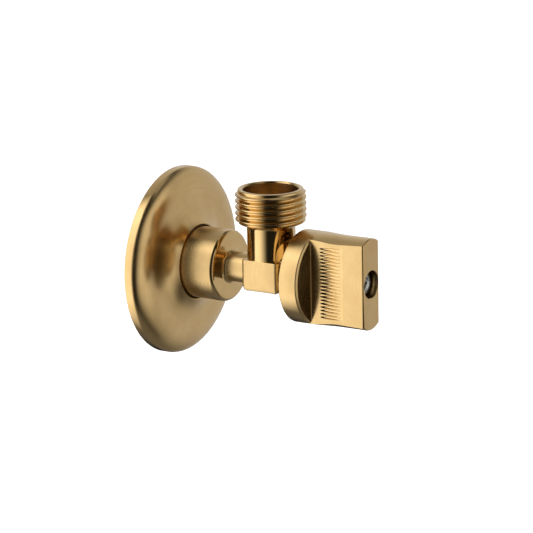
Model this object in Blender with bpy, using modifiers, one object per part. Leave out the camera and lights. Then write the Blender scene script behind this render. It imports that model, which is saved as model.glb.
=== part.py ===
"""Quarter-turn angle stop valve with a wall flange, as the pieces that come apart on a bench.

Sizes are in metres. The wall is the plane y = 0, the user stands on the -Y side, +Z runs up through
the outlet and +X to the right. A station called "out" is a distance in front of the wall, so a
station of 0.02 lies at y = -0.02. Turned profiles are lists of (radius, station), top to bottom.
"""

import math

import bmesh
import bpy
from mathutils import Matrix, Vector

MM = 0.001

# Fits
FACE_GAP = 0.20 * MM        # between pieces that rest on each other
RUNNING_GAP = 0.06 * MM     # radial clearance of a piece that turns in another
BITE = 0.40 * MM            # how far joined shapes run into each other
OVERRUN = 2.0 * MM          # how far a cutter passes the face it opens

# Pipe thread of both ends: G 1/2, truncated to a plain V of rings
THREAD_RADIUS = 10.4775 * MM
THREAD_PITCH = 1.814 * MM
THREAD_DEPTH = 1.10 * MM

# Inlet side, stations out of the wall
INLET_END = -9.5 * MM
INLET_THREADS = 6
COLLAR_RADIUS = 10.67 * MM
COLLAR_BACK = 3.2 * MM
COLLAR_FRONT = 19.3 * MM
COLLAR_ROUND = 1.2 * MM
INLET_BORE = 7.0 * MM
INLET_BORE_WALL = 4.8 * MM      # from the collar's front to the end of the wide bore
INLET_CONE = 2.9 * MM
NECK_WALL = 1.9 * MM
NECK_BORE = 2.6 * MM

# Block under the outlet
OUTLET_OUT = 33.4 * MM
BLOCK_LENGTH = 12.2 * MM
BLOCK_TOP = 4.4 * MM
BLOCK_WALL = 1.1 * MM
BLOCK_SIDE_WALL = 3.3 * MM
BLOCK_EDGE = 1.1 * MM
BLOCK_FOOT_EDGE = 1.6 * MM

# Outlet
OUTLET_TOP = 25.1 * MM
OUTLET_THREADS = 5
OUTLET_LIP = 1.1 * MM
OUTLET_NECK = 7.15 * MM
OUTLET_BORE = 8.2 * MM
OUTLET_BORE_DEPTH = 8.3 * MM
OUTLET_CONE = 2.6 * MM          # from the wide bore down to the throat
OUTLET_THROAT = 5.2 * MM
OUTLET_THROAT_FLOOR = 5.6 * MM

# Cavity for the plug, and the head that holds the bonnet
CAVITY_RADIUS = 4.0 * MM
CAVITY_FLOOR = 0.7 * MM         # from the back of the block
SOCKET_STEP = 1.0 * MM
SOCKET_WALL = 1.4 * MM
SOCKET_DEPTH = 2.6 * MM
HEAD_BORE = 8.4 * MM
HEAD_WALL = 1.6 * MM
HEAD_FLARE = 1.6 * MM
HEAD_FLOOR = 1.2 * MM
HEAD_PROUD = 1.5 * MM           # past the bonnet's front face

# Shut-off pieces
SPRING_THICKNESS = 0.4 * MM
SPRING_CONE = 0.2 * MM
SEAT_THICKNESS = 1.2 * MM
SLEEVE_WALL = 0.70 * MM
PLUG_BORE = 2.0 * MM
PORT_RADIUS = 1.9 * MM
PLUG_WEB = 1.0 * MM
SLOT_WIDTH = 1.9 * MM
SLOT_DEPTH = 1.5 * MM
SLOT_SIDE_GAP = 0.15 * MM

# Stem
STEM_RADIUS = 2.8 * MM
FOOT_THICKNESS = 1.4 * MM
THRUST_THICKNESS = 0.5 * MM
O_RING_SECTION = 1.0 * MM
O_RING_SQUEEZED = 0.80 * MM
O_RING_GROOVE_SPARE = 0.4 * MM
O_RING_SHARES = (0.27, 0.73)    # where the two seals lie along the bonnet
SPLINE_RADIUS = 2.6 * MM
SPLINE_TEETH = 12
SPLINE_DEPTH = 0.25 * MM
STEM_FLAT_DEPTH = 0.6 * MM
TAPPED_DEPTH = 7.5 * MM

# Bonnet, stop and circlip
BONNET_COLLAR = 2.2 * MM
BONNET_KEY = 0.9 * MM
SLIP_THICKNESS = 0.4 * MM
STOP_THICKNESS = 0.6 * MM
STOP_WALL = 2.2 * MM
STOP_WALL_SETBACK = 0.8 * MM    # inside the bonnet's rim
STOP_LUG_SHORT = 0.5 * MM
STOP_WASHER_GAP = 0.6 * MM
STOP_LUG_HALF_ANGLE = math.radians(16)
STOP_LUG_TAPER = 0.9
STOP_SPARE_ANGLE = math.radians(4)
TRAVEL = math.radians(90)
CIRCLIP_THICKNESS = 0.5 * MM
CIRCLIP_REACH = 1.4 * MM        # past the stem
CIRCLIP_GROOVE = 0.5 * MM
CIRCLIP_MOUTH = 3.0 * MM

# Handle
SKIRT_SETBACK = 2.05 * MM       # of the disc's back in front of the head's back edge
HOLLOW_GAP = 1.58 * MM
WEB_GAP = 1.35 * MM
DISC_CHAMFER = 0.9 * MM
DISC_WALL = 2.1 * MM
DISC_WEB = 1.1 * MM
WING_LENGTH = 17.1 * MM
WING_THICKNESS = 8.8 * MM           # at the end; the faces widen towards the disc
WING_DRAFT = 1.05 * MM              # how far each face has widened at the disc
WING_EDGE = 0.5 * MM
WING_INSET = 0.1 * MM
ACCESS_RADIUS = 4.05 * MM
ACCESS_DEPTH = 4.9 * MM
SCREW_SEAT_WALL = 2.9 * MM

# Insert and screw
INSERT_WALL = 0.85 * MM
INSERT_END = 1.2 * MM
SCREW_RADIUS = 1.5 * MM
SCREW_ENGAGEMENT = 5.4 * MM
SCREW_THREAD_GAP = 0.15 * MM
SCREW_HEAD_RADIUS = 3.3 * MM
SCREW_HEAD = 1.9 * MM
SCREW_HEAD_EDGE = 0.65 * MM
SCREW_RECESS_WIDTH = 0.9 * MM
SCREW_RECESS_DEPTH = 1.1 * MM
SCREW_RECESS_REACH = 2.0 * MM    # of each arm from the axis
LOCK_WASHER = 0.7 * MM
LOCK_WASHER_RADIUS = 2.9 * MM
LOCK_WASHER_SPLIT = 0.45 * MM

# Flange and its grip ring
FLANGE_RADIUS = 28.0 * MM
FLANGE_SHEET = 1.0 * MM
FLANGE_RIM = 2.2 * MM
FLANGE_SHOULDER = 8.5 * MM          # how far in from the rim the domed shoulder reaches
FLANGE_DOME = 3.6 * MM              # how far the shoulder rises above the rim
FLANGE_HUB = 8.4 * MM
FLANGE_LIP = 0.3 * MM
FLANGE_TRUMPET = 5               # power of the curve that rises from the rim to the hub's lip
FLANGE_HOLE_GAP = 0.48 * MM
GRIP_SECTION = 2.2 * MM

# Facets
ROUND_SIDES = 36
FIT_SIDES = 36
FLANGE_SIDES = 48
SMALL_SIDES = 24
RING_SIDES = 8

# Stations and radii that follow from the sizes above
BLOCK_BACK = OUTLET_OUT - BLOCK_LENGTH / 2
BLOCK_FRONT = OUTLET_OUT + BLOCK_LENGTH / 2
BLOCK_BOTTOM = CAVITY_RADIUS + BLOCK_WALL
BLOCK_HALF_WIDTH = CAVITY_RADIUS + BLOCK_SIDE_WALL
NECK_RADIUS = NECK_BORE + NECK_WALL
CAVITY_BACK = BLOCK_BACK + CAVITY_FLOOR

SLEEVE_OUTER = CAVITY_RADIUS - FACE_GAP
PLUG_RADIUS = SLEEVE_OUTER - SLEEVE_WALL - RUNNING_GAP
SPRING_BACK = CAVITY_BACK + FACE_GAP
SEAT_BACK = SPRING_BACK + SPRING_THICKNESS + SPRING_CONE + FACE_GAP
SEAT_FRONT = SEAT_BACK + SEAT_THICKNESS
PLUG_BACK = SEAT_FRONT + FACE_GAP
PLUG_BORE_END = OUTLET_OUT + PLUG_BORE + FACE_GAP
SLOT_BACK = PLUG_BORE_END + PLUG_WEB
PLUG_FRONT = SLOT_BACK + SLOT_DEPTH
FOOT_BACK = PLUG_FRONT + FACE_GAP
FOOT_FRONT = FOOT_BACK + FOOT_THICKNESS
FOOT_RADIUS = CAVITY_RADIUS - FACE_GAP
THRUST_BACK = FOOT_FRONT + FACE_GAP
THRUST_FRONT = THRUST_BACK + THRUST_THICKNESS

SOCKET_RADIUS = CAVITY_RADIUS + SOCKET_STEP
SOCKET_START = THRUST_FRONT
SOCKET_END = SOCKET_START + SOCKET_DEPTH
BONNET_BORE = STEM_RADIUS + RUNNING_GAP
NOSE_BACK = THRUST_FRONT + FACE_GAP
BONNET_SEAT = SOCKET_END + FACE_GAP
BONNET_FRONT = BONNET_SEAT + BONNET_COLLAR
SLIP_BACK = BONNET_FRONT + FACE_GAP
SLIP_FRONT = SLIP_BACK + SLIP_THICKNESS
STOP_BACK = SLIP_FRONT + FACE_GAP
STOP_FRONT = STOP_BACK + STOP_THICKNESS
CIRCLIP_BACK = STOP_FRONT + FACE_GAP
CIRCLIP_FRONT = CIRCLIP_BACK + CIRCLIP_THICKNESS
GROOVE_WIDTH = O_RING_SECTION + O_RING_GROOVE_SPARE
STEM_FLAT = STEM_RADIUS - STEM_FLAT_DEPTH
BONNET_RIM = HEAD_BORE - FACE_GAP
STOP_WALL_OUTER = BONNET_RIM - STOP_WALL_SETBACK
STOP_WALL_INNER = STOP_WALL_OUTER - STOP_WALL
STOP_LUG_REACH = STOP_WALL_OUTER - STOP_LUG_SHORT
STOP_RADIUS = STOP_WALL_INNER - STOP_WASHER_GAP
CIRCLIP_RADIUS = STEM_RADIUS + CIRCLIP_REACH

WAIST_RADIUS = SOCKET_RADIUS + SOCKET_WALL
HEAD_RADIUS = HEAD_BORE + HEAD_WALL
HEAD_START = SOCKET_END - HEAD_FLOOR
HEAD_END = BONNET_FRONT + HEAD_PROUD
WAIST_FRONT = HEAD_START - HEAD_FLARE
WAIST_BACK = min(BLOCK_FRONT, WAIST_FRONT) - BITE

HANDLE_RADIUS = HEAD_RADIUS + HOLLOW_GAP + DISC_WALL
HANDLE_BACK = HEAD_START + SKIRT_SETBACK
WEB_BACK = max(HEAD_END, CIRCLIP_FRONT) + WEB_GAP
DISC_FRONT = WEB_BACK + DISC_WEB
HANDLE_END = DISC_FRONT + WING_LENGTH
ACCESS_FLOOR = HANDLE_END - ACCESS_DEPTH
SOCKET_FLOOR = ACCESS_FLOOR - SCREW_SEAT_WALL
SPLINE_START = WEB_BACK + FACE_GAP
INSERT_BACK = WEB_BACK + FACE_GAP
INSERT_FRONT = SOCKET_FLOOR - FACE_GAP
STEM_END = INSERT_FRONT - INSERT_END - FACE_GAP
INSERT_BORE = SPLINE_RADIUS + FACE_GAP
INSERT_RADIUS = INSERT_BORE + INSERT_WALL
WASHER_BACK = ACCESS_FLOOR + FACE_GAP
WASHER_FRONT = WASHER_BACK + LOCK_WASHER
SCREW_HEAD_BACK = WASHER_FRONT + FACE_GAP
SCREW_HEAD_FRONT = SCREW_HEAD_BACK + SCREW_HEAD
SCREW_TIP = STEM_END - SCREW_ENGAGEMENT
SCREW_HOLE = SCREW_RADIUS + FACE_GAP
TAPPED_RADIUS = SCREW_RADIUS + SCREW_THREAD_GAP

FLANGE_HOLE = COLLAR_RADIUS + FLANGE_HOLE_GAP
FLANGE_LIP_EDGE = FLANGE_HOLE + FLANGE_LIP
FLANGE_RISE = FLANGE_HUB - FLANGE_RIM - FLANGE_DOME

FACING_WALL = Matrix.Rotation(math.pi / 2, 4, "X")      # turns local +Z to point out of the wall


def clear_scene():
    for obj in list(bpy.data.objects):
        bpy.data.objects.remove(obj, do_unlink=True)


def new_collection(name):
    collection = bpy.data.collections.new(name)
    bpy.context.scene.collection.children.link(collection)
    return collection


def metal(name, colour, roughness, metallic=1.0):
    material = bpy.data.materials.new(name)
    material.use_nodes = True
    shader = material.node_tree.nodes["Principled BSDF"]
    shader.inputs["Base Color"].default_value = (*colour, 1.0)
    shader.inputs["Roughness"].default_value = roughness
    shader.inputs["Metallic"].default_value = metallic
    return material


def wall_place(x=0.0, out=0.0, z=0.0):
    """Places a piece whose local +Z points out of the wall."""
    return Matrix.Translation(Vector((x, -out, z))) @ FACING_WALL


def outlet_place():
    return Matrix.Translation(Vector((0.0, -OUTLET_OUT, 0.0)))


def add_object(name, mesh, place, material=None):
    obj = bpy.data.objects.new(name, mesh)
    obj.matrix_world = place
    if material:
        mesh.materials.append(material)
        mesh.shade_smooth()
        PARTS.objects.link(obj)
    else:
        obj.hide_render = True
        obj.display_type = "WIRE"
        CUTTERS.objects.link(obj)
    return obj


def mesh_from(name, bm):
    mesh = bpy.data.meshes.new(name)
    bm.to_mesh(mesh)
    bm.free()
    return mesh


def turned(name, profile, place, material=None, sides=ROUND_SIDES, ring=False):
    """Turns a profile about its local Z. A ring's profile is a closed loop clear of the axis."""
    bm = bmesh.new()
    points = [bm.verts.new((radius, 0.0, station)) for radius, station in profile]
    ends = points[1:] + points[:1] if ring else points[1:]
    for start, end in zip(points, ends):
        bm.edges.new((start, end))
    obj = add_object(name, mesh_from(name, bm), place, material)
    screw = obj.modifiers.new("Turn", "SCREW")
    screw.steps = sides
    screw.render_steps = sides
    screw.use_merge_vertices = True
    screw.merge_threshold = 0.00001
    screw.use_smooth_shade = material is not None
    return obj


def sleeve_profile(inner, outer, low, high):
    return [(inner, high), (outer, high), (outer, low), (inner, low)]


def rod_profile(radius, low, high):
    return [(0.0, high), (radius, high), (radius, low), (0.0, low)]


def torus_profile(ring_radius, section, station, sides=RING_SIDES):
    """A closed round section that runs down its outer side."""
    turns = [-2 * math.pi * (step + 0.5) / sides for step in range(sides)]
    return [
        (ring_radius + section / 2 * math.cos(turn), station + section / 2 * math.sin(turn))
        for turn in turns
    ]


def block(name, low, high, edges=None, width=0.0):
    """A box between two corners. edges picks the edges that get a flat bevel of this width."""
    low, high = Vector(low), Vector(high)
    bm = bmesh.new()
    bmesh.ops.create_cube(bm, size=1.0)
    bmesh.ops.scale(bm, vec=high - low, verts=bm.verts)
    bmesh.ops.translate(bm, vec=(high + low) / 2, verts=bm.verts)
    for pick, amount in edges or []:
        bmesh.ops.bevel(
            bm,
            geom=[edge for edge in bm.edges if pick(edge)],
            offset=amount,
            offset_type="OFFSET",
            affect="EDGES",
            segments=1,
            profile=0.5,
            material=-1,
        )
    return add_object(name, mesh_from(name, bm), Matrix.Identity(4))


def join(obj, other, operation="UNION"):
    modifier = obj.modifiers.new(f"{operation.title()} {other.name}", "BOOLEAN")
    modifier.operation = operation
    modifier.solver = "EXACT"
    modifier.object = other
    return obj


def cut(obj, cutter):
    return join(obj, cutter, "DIFFERENCE")


def thread_profile(top, turns, root_at_top):
    """Rings of a plain V thread from its top station down: crest, root, crest and so on."""
    root = THREAD_RADIUS - THREAD_DEPTH
    points = []
    for turn in range(turns):
        high = top - turn * THREAD_PITCH
        points.append((THREAD_RADIUS, high - THREAD_PITCH / 2))
        points.append((root, high - THREAD_PITCH))
    return [(root, top)] + points if root_at_top else points


def body_outline():
    """Outer shape about the inlet axis, from the open head back to the inlet's end."""
    thread_top = INLET_END + THREAD_DEPTH + INLET_THREADS * THREAD_PITCH
    root = THREAD_RADIUS - THREAD_DEPTH
    round_cut = COLLAR_ROUND * (1 - math.cos(math.pi / 4))
    return [
        (0.0, HEAD_END),
        (HEAD_RADIUS, HEAD_END),
        (HEAD_RADIUS, HEAD_START),
        (WAIST_RADIUS, WAIST_FRONT),
        (WAIST_RADIUS, WAIST_BACK),
        (NECK_RADIUS, WAIST_BACK),
        (NECK_RADIUS, COLLAR_FRONT),
        (COLLAR_RADIUS - COLLAR_ROUND, COLLAR_FRONT),
        (COLLAR_RADIUS - round_cut, COLLAR_FRONT - round_cut),
        (COLLAR_RADIUS, COLLAR_FRONT - COLLAR_ROUND),
        (COLLAR_RADIUS, COLLAR_BACK),
        *thread_profile(thread_top, INLET_THREADS, True),
        (root, INLET_END),
        (0.0, INLET_END),
    ]


def outlet_outline():
    thread_top = OUTLET_TOP - OUTLET_LIP
    thread_end = thread_top - OUTLET_THREADS * THREAD_PITCH
    return [
        (0.0, OUTLET_TOP),
        (THREAD_RADIUS - THREAD_DEPTH, OUTLET_TOP),
        *thread_profile(thread_top, OUTLET_THREADS, True),
        (OUTLET_NECK, thread_end),
        (OUTLET_NECK, BLOCK_TOP - BITE),
        (0.0, BLOCK_TOP - BITE),
    ]


def valve_body(material):
    body = turned("valve_body", body_outline(), wall_place(), material)

    def upright(edge):
        first, second = (vert.co for vert in edge.verts)
        return abs(first.z - second.z) > BLOCK_TOP

    def foot(edge):
        return all(vert.co.z < -BLOCK_BOTTOM + BITE for vert in edge.verts)

    middle = block(
        "block_blank",
        (-BLOCK_HALF_WIDTH, -BLOCK_FRONT, -BLOCK_BOTTOM),
        (BLOCK_HALF_WIDTH, -BLOCK_BACK, BLOCK_TOP),
        [(upright, BLOCK_EDGE), (foot, BLOCK_FOOT_EDGE)],
    )
    join(body, middle)
    join(body, turned("outlet_blank", outlet_outline(), outlet_place()))
    way = [
        (0.0, HEAD_END + OVERRUN),
        (HEAD_BORE, HEAD_END + OVERRUN),
        (HEAD_BORE, SOCKET_END),
        (SOCKET_RADIUS, SOCKET_END),
        (SOCKET_RADIUS, SOCKET_START),
        (CAVITY_RADIUS, SOCKET_START),
        (CAVITY_RADIUS, CAVITY_BACK),
        (NECK_BORE, CAVITY_BACK),
        (NECK_BORE, COLLAR_FRONT - INLET_BORE_WALL + INLET_CONE),
        (INLET_BORE, COLLAR_FRONT - INLET_BORE_WALL),
        (INLET_BORE, INLET_END - OVERRUN),
        (0.0, INLET_END - OVERRUN),
    ]
    cut(body, turned("through_way", way, wall_place(), sides=FIT_SIDES))
    rise = [
        (0.0, OUTLET_TOP + OVERRUN),
        (OUTLET_BORE, OUTLET_TOP + OVERRUN),
        (OUTLET_BORE, OUTLET_TOP - OUTLET_BORE_DEPTH),
        (OUTLET_THROAT, OUTLET_TOP - OUTLET_BORE_DEPTH - OUTLET_CONE),
        (OUTLET_THROAT, OUTLET_THROAT_FLOOR),
        (PORT_RADIUS, OUTLET_THROAT_FLOOR),
        (PORT_RADIUS, 0.0),
        (0.0, 0.0),
    ]
    cut(body, turned("outlet_way", rise, outlet_place(), sides=FIT_SIDES))
    return body


def flange_station(radius):
    """How far out of the wall the pressed face lies at a radius: a domed shoulder under a trumpet."""
    inward = FLANGE_RADIUS - radius
    domed = min(inward / FLANGE_SHOULDER, 1.0)
    flared = inward / (FLANGE_RADIUS - FLANGE_LIP_EDGE)
    dome = FLANGE_DOME * math.sqrt(1 - (1 - domed) ** 2)
    return FLANGE_RIM + dome + FLANGE_RISE * flared ** FLANGE_TRUMPET


def flange_face():
    """The pressed face from the hub's lip over the trumpet and the domed shoulder to the wall."""
    trumpet_steps, dome_steps = 5, 6
    dome_edge = FLANGE_RADIUS - FLANGE_SHOULDER
    reach = dome_edge - FLANGE_LIP_EDGE
    radii = [FLANGE_LIP_EDGE + reach * step / trumpet_steps for step in range(trumpet_steps)]
    for step in range(dome_steps + 1):
        radii.append(dome_edge + FLANGE_SHOULDER * math.sin(math.pi / 2 * step / dome_steps))
    points = [(FLANGE_HOLE, FLANGE_HUB)]
    points += [(radius, flange_station(radius)) for radius in radii]
    points.append((FLANGE_RADIUS, 0.0))
    return points


def wall_flange(material):
    """The sheet's inner side is the outer one set back by its thickness, where that clears the hole."""
    outer = [Vector(point) for point in flange_face()]
    inner = [Vector((FLANGE_HOLE, FLANGE_HUB - FLANGE_SHEET))]
    for before, point, after in zip(outer, outer[1:], outer[2:]):
        along = (after - before).normalized()
        set_back = point + Vector((along.y, -along.x)) * FLANGE_SHEET
        if set_back.x > FLANGE_HOLE + FACE_GAP:
            inner.append(set_back)
    inner.append(Vector((FLANGE_RADIUS - FLANGE_SHEET, 0.0)))
    profile = [tuple(point) for point in outer + inner[::-1]]
    return turned("wall_flange", profile, wall_place(), material, FLANGE_SIDES, ring=True)


def flange_grip_ring(material):
    """The rubber ring under the trumpet, close behind the sheet."""
    radius = COLLAR_RADIUS + RUNNING_GAP + GRIP_SECTION / 2
    behind = FLANGE_SHEET + RUNNING_GAP + GRIP_SECTION / 2
    station = flange_station(radius + GRIP_SECTION / 2) - behind
    profile = torus_profile(radius, GRIP_SECTION, station)
    return turned("flange_grip_ring", profile, wall_place(), material, ROUND_SIDES, ring=True)


def seat_spring(material):
    """A shallow cone washer that presses the seat ring against the plug."""
    inner, outer = NECK_BORE, SLEEVE_OUTER
    profile = [
        (inner, SPRING_BACK + SPRING_CONE + SPRING_THICKNESS),
        (outer, SPRING_BACK + SPRING_THICKNESS),
        (outer, SPRING_BACK),
        (inner, SPRING_BACK + SPRING_CONE),
    ]
    return turned("seat_spring", profile, wall_place(), material, SMALL_SIDES, ring=True)


def inlet_seat_ring(material):
    profile = sleeve_profile(NECK_BORE, SLEEVE_OUTER, SEAT_BACK, SEAT_FRONT)
    return turned("inlet_seat_ring", profile, wall_place(), material, SMALL_SIDES, ring=True)


def plug_sleeve(material):
    profile = sleeve_profile(PLUG_RADIUS + RUNNING_GAP, SLEEVE_OUTER, PLUG_BACK, PLUG_FRONT)
    sleeve = turned("plug_sleeve", profile, wall_place(), material, FIT_SIDES, ring=True)
    window = rod_profile(PORT_RADIUS, 0.0, SLEEVE_OUTER + OVERRUN)
    return cut(sleeve, turned("sleeve_window", window, outlet_place(), sides=SMALL_SIDES))


def port_plug(material):
    profile = rod_profile(PLUG_RADIUS, PLUG_BACK, PLUG_FRONT)
    plug = turned("port_plug", profile, wall_place(), material, FIT_SIDES)
    bore = rod_profile(PLUG_BORE, PLUG_BACK - OVERRUN, PLUG_BORE_END)
    cut(plug, turned("plug_bore", bore, wall_place(), sides=SMALL_SIDES))
    port = rod_profile(PORT_RADIUS, 0.0, PLUG_RADIUS + OVERRUN)
    cut(plug, turned("plug_port", port, outlet_place(), sides=SMALL_SIDES))
    half = SLOT_WIDTH / 2
    slot = block(
        "plug_slot",
        (-half, -PLUG_FRONT - OVERRUN, -PLUG_RADIUS - OVERRUN),
        (half, -SLOT_BACK, PLUG_RADIUS + OVERRUN),
    )
    return cut(plug, slot)


def o_ring_stations():
    """Centres of the stem's two grooves, shared out along the bonnet's bore."""
    room = BONNET_FRONT - NOSE_BACK
    return [NOSE_BACK + room * share for share in O_RING_SHARES]


def groove(radius, centre):
    """A square groove in a profile that runs top to bottom."""
    deep = radius - O_RING_SECTION + RUNNING_GAP
    return [
        (radius, centre + GROOVE_WIDTH / 2),
        (deep, centre + GROOVE_WIDTH / 2),
        (deep, centre - GROOVE_WIDTH / 2),
        (radius, centre - GROOVE_WIDTH / 2),
    ]


def spline_ring(name, radius, low, high, grow=0.0):
    """A toothed rod or socket about the inlet axis, from a round outline with its teeth in and out."""
    bm = bmesh.new()
    made = bmesh.ops.create_cone(
        bm,
        cap_ends=True,
        segments=SPLINE_TEETH * 2,
        radius1=radius,
        radius2=radius,
        depth=high - low,
    )
    for vert in made["verts"]:
        turn = round(math.atan2(vert.co.y, vert.co.x) / (math.pi / SPLINE_TEETH))
        size = radius - SPLINE_DEPTH if turn % 2 else radius
        vert.co.xy = vert.co.xy.normalized() * (size + grow)
    bmesh.ops.translate(bm, vec=(0.0, 0.0, (low + high) / 2), verts=bm.verts)
    return add_object(name, mesh_from(name, bm), wall_place())


def stem(material):
    first, second = o_ring_stations()
    neck = SPLINE_RADIUS - SPLINE_DEPTH - FACE_GAP
    profile = [
        (0.0, SPLINE_START + BITE),
        (neck, SPLINE_START + BITE),
        (neck, CIRCLIP_FRONT + FACE_GAP),
        (STEM_RADIUS, CIRCLIP_FRONT + FACE_GAP),
        (STEM_RADIUS, CIRCLIP_FRONT + FACE_GAP / 2),
        (STEM_RADIUS - CIRCLIP_GROOVE, CIRCLIP_FRONT + FACE_GAP / 2),
        (STEM_RADIUS - CIRCLIP_GROOVE, CIRCLIP_BACK - FACE_GAP / 2),
        (STEM_RADIUS, CIRCLIP_BACK - FACE_GAP / 2),
        *groove(STEM_RADIUS, second),
        *groove(STEM_RADIUS, first),
        (STEM_RADIUS, FOOT_FRONT),
        (FOOT_RADIUS, FOOT_FRONT),
        (FOOT_RADIUS, FOOT_BACK),
        (0.0, FOOT_BACK),
    ]
    stem_piece = turned("stem", profile, wall_place(), material, FIT_SIDES)
    join(stem_piece, spline_ring("stem_spline", SPLINE_RADIUS, SPLINE_START, STEM_END))
    half = SLOT_WIDTH / 2 - SLOT_SIDE_GAP
    reach = PLUG_RADIUS - FACE_GAP
    blade = block(
        "stem_blade",
        (-half, -FOOT_BACK - BITE, -reach),
        (half, -SLOT_BACK - FACE_GAP, reach),
    )
    join(stem_piece, blade)
    for side in (-1, 1):
        near, far = sorted((side * STEM_FLAT, side * (STEM_RADIUS + OVERRUN)))
        flat = block(
            f"stem_flat_{'left' if side < 0 else 'right'}",
            (near, -STOP_FRONT - FACE_GAP / 2, -STEM_RADIUS - OVERRUN),
            (far, -STOP_BACK + FACE_GAP / 2, STEM_RADIUS + OVERRUN),
        )
        cut(stem_piece, flat)
    tapped = rod_profile(TAPPED_RADIUS, STEM_END - TAPPED_DEPTH, STEM_END + OVERRUN)
    return cut(stem_piece, turned("stem_tapping", tapped, wall_place(), sides=SMALL_SIDES))


def stem_o_rings(material):
    names = ("stem_o_ring_inner", "stem_o_ring_outer")
    radius = STEM_RADIUS + RUNNING_GAP / 2 - O_RING_SQUEEZED / 2
    for name, station in zip(names, o_ring_stations()):
        profile = torus_profile(radius, O_RING_SQUEEZED, station)
        turned(name, profile, wall_place(), material, SMALL_SIDES, ring=True)


def thrust_washer(material):
    profile = sleeve_profile(STEM_RADIUS + RUNNING_GAP * 2, FOOT_RADIUS, THRUST_BACK, THRUST_FRONT)
    return turned("thrust_washer", profile, wall_place(), material, FIT_SIDES, ring=True)


def bonnet_seal_station():
    return (NOSE_BACK + BONNET_SEAT) / 2


def stop_walls():
    """The raised wall round the stop's lug, open where the lug travels."""
    profile = sleeve_profile(STOP_WALL_INNER, STOP_WALL_OUTER, BONNET_FRONT - BITE, STOP_FRONT)
    wall = turned("stop_wall", profile, wall_place(), sides=FIT_SIDES, ring=True)
    opening = STOP_LUG_HALF_ANGLE + STOP_SPARE_ANGLE
    return cut(wall, wedge("stop_window", -opening, TRAVEL + opening))


def wedge(name, start, end):
    """A slice about the inlet axis between two angles, counted from straight down towards the left."""
    steps = 8
    reach = STOP_WALL_OUTER + OVERRUN
    bm = bmesh.new()
    corners = [bm.verts.new((0.0, 0.0, BONNET_FRONT))]
    for step in range(steps + 1):
        turn = start + (end - start) * step / steps
        corners.append(bm.verts.new((-reach * math.sin(turn), -reach * math.cos(turn), BONNET_FRONT)))
    face = bm.faces.new(corners)
    raised = bmesh.ops.extrude_face_region(bm, geom=[face])
    moved = [part for part in raised["geom"] if isinstance(part, bmesh.types.BMVert)]
    bmesh.ops.translate(bm, vec=(0.0, 0.0, STOP_FRONT - BONNET_FRONT + OVERRUN), verts=moved)
    bmesh.ops.recalc_face_normals(bm, faces=bm.faces)
    return add_object(name, mesh_from(name, bm), wall_place())


def bonnet(material):
    nose = SOCKET_RADIUS - FACE_GAP
    seal = bonnet_seal_station()
    profile = [
        (BONNET_BORE, BONNET_FRONT),
        (BONNET_RIM, BONNET_FRONT),
        (BONNET_RIM, BONNET_SEAT),
        (nose, BONNET_SEAT),
        *groove(nose, seal),
        (nose, NOSE_BACK),
        (BONNET_BORE, NOSE_BACK),
    ]
    bonnet_piece = turned("bonnet", profile, wall_place(), material, FIT_SIDES, ring=True)
    join(bonnet_piece, stop_walls())
    for name, side in (("bonnet_key_upper", 1), ("bonnet_key_lower", -1)):
        near, far = sorted((side * (BONNET_RIM - BONNET_KEY), side * (BONNET_RIM + OVERRUN)))
        low = (-BONNET_KEY, -BONNET_FRONT - OVERRUN, near)
        cut(bonnet_piece, block(name, low, (BONNET_KEY, -BONNET_FRONT + BONNET_KEY, far)))
    return bonnet_piece


def bonnet_o_ring(material):
    radius = SOCKET_RADIUS - FACE_GAP - O_RING_SQUEEZED / 2 + RUNNING_GAP
    profile = torus_profile(radius, O_RING_SQUEEZED, bonnet_seal_station())
    return turned("bonnet_o_ring", profile, wall_place(), material, SMALL_SIDES, ring=True)


def slip_washer(material):
    profile = sleeve_profile(STEM_RADIUS + RUNNING_GAP * 2, STOP_RADIUS, SLIP_BACK, SLIP_FRONT)
    return turned("slip_washer", profile, wall_place(), material, SMALL_SIDES, ring=True)


def stop_washer(material):
    profile = rod_profile(STOP_RADIUS, STOP_BACK, STOP_FRONT)
    washer = turned("stop_washer", profile, wall_place(), material, SMALL_SIDES)
    half = STOP_LUG_REACH * math.sin(STOP_LUG_HALF_ANGLE) * STOP_LUG_TAPER
    lug = block(
        "stop_lug",
        (-half, -STOP_FRONT, -STOP_LUG_REACH),
        (half, -STOP_BACK, -STOP_RADIUS + BITE * 2),
    )
    join(washer, lug)
    round_hole = rod_profile(STEM_RADIUS + FACE_GAP, STOP_BACK - OVERRUN, STOP_FRONT + OVERRUN)
    hole = turned("stop_hole", round_hole, wall_place(), sides=SMALL_SIDES)
    across = STEM_FLAT + FACE_GAP
    along = STEM_RADIUS + OVERRUN
    low = (-across, -STOP_FRONT - OVERRUN * 2, -along)
    high = (across, -STOP_BACK + OVERRUN * 2, along)
    join(hole, block("stop_key", low, high), "INTERSECT")
    return cut(washer, hole)


def stem_circlip(material):
    inner = STEM_RADIUS - CIRCLIP_GROOVE + FACE_GAP
    profile = sleeve_profile(inner, CIRCLIP_RADIUS, CIRCLIP_BACK, CIRCLIP_FRONT)
    clip = turned("stem_circlip", profile, wall_place(), material, SMALL_SIDES, ring=True)
    half = CIRCLIP_MOUTH / 2
    mouth = block(
        "circlip_mouth",
        (-half, -CIRCLIP_FRONT - OVERRUN, 0.0),
        (half, -CIRCLIP_BACK + OVERRUN, CIRCLIP_RADIUS + OVERRUN),
    )
    return cut(clip, mouth)


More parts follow.
